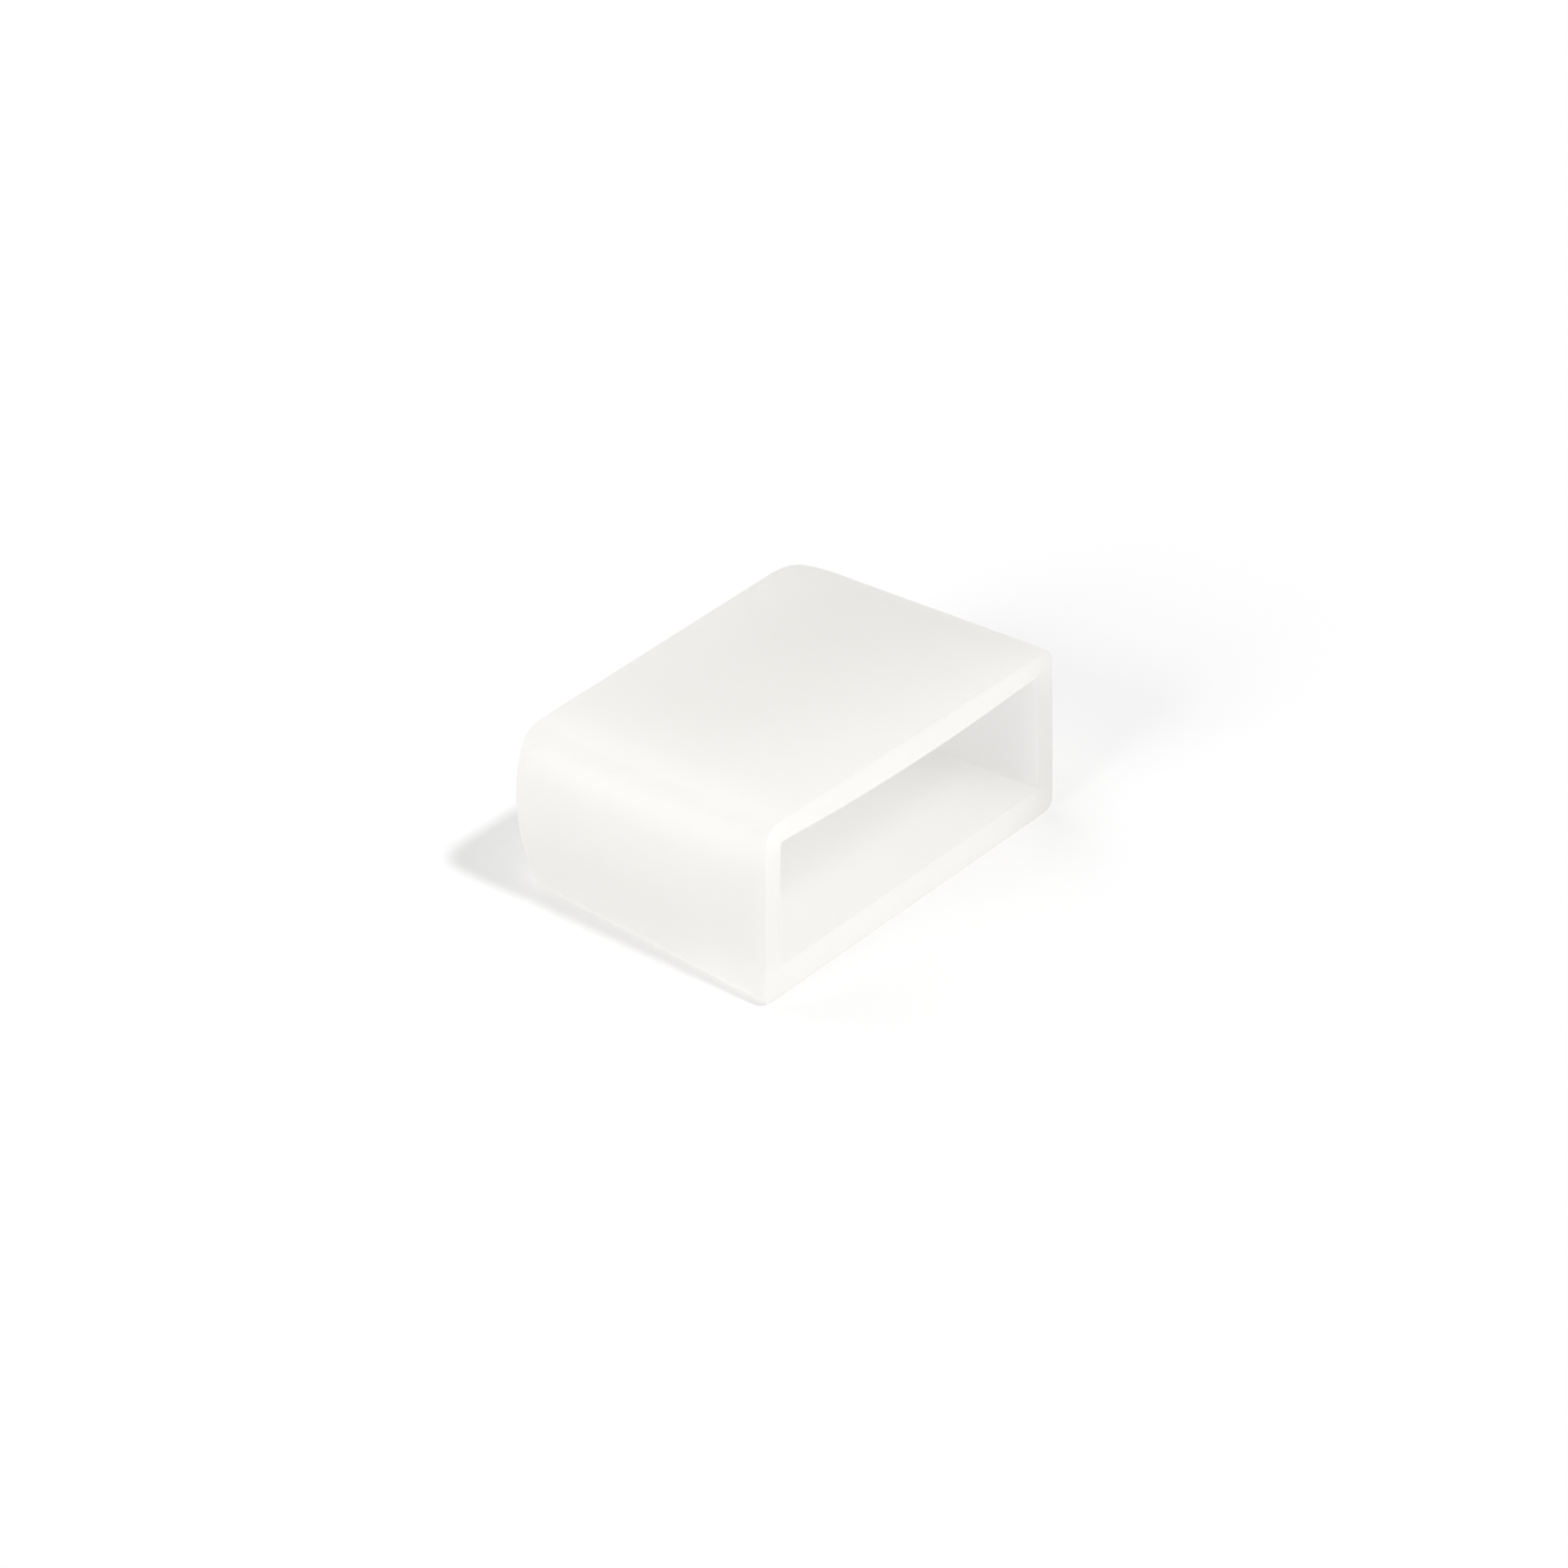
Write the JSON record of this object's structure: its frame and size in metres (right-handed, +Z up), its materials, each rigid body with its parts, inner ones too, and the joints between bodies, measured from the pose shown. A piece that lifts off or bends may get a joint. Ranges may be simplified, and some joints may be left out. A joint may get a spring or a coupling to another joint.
{
  "type": "light strip end cap",
  "caption": "Closed push-on end cap in soft translucent silicone: a rounded rectangular pocket, open at one side, with a domed closed end.",
  "frame": {"origin": "centre of the outer box in X and Y, at the level of the underside", "axes": "+Z up from the underside, +X across the width, -Y out of the open mouth, +Y towards the domed closed end"},
  "size_m": [0.0162, 0.0122, 0.0065],
  "materials": {
    "silicone": "translucent off-white silicone, as moulded, satin"
  },
  "bodies": {
    "root": {"end_cap": "silicone"}
  },
  "joints": []
}
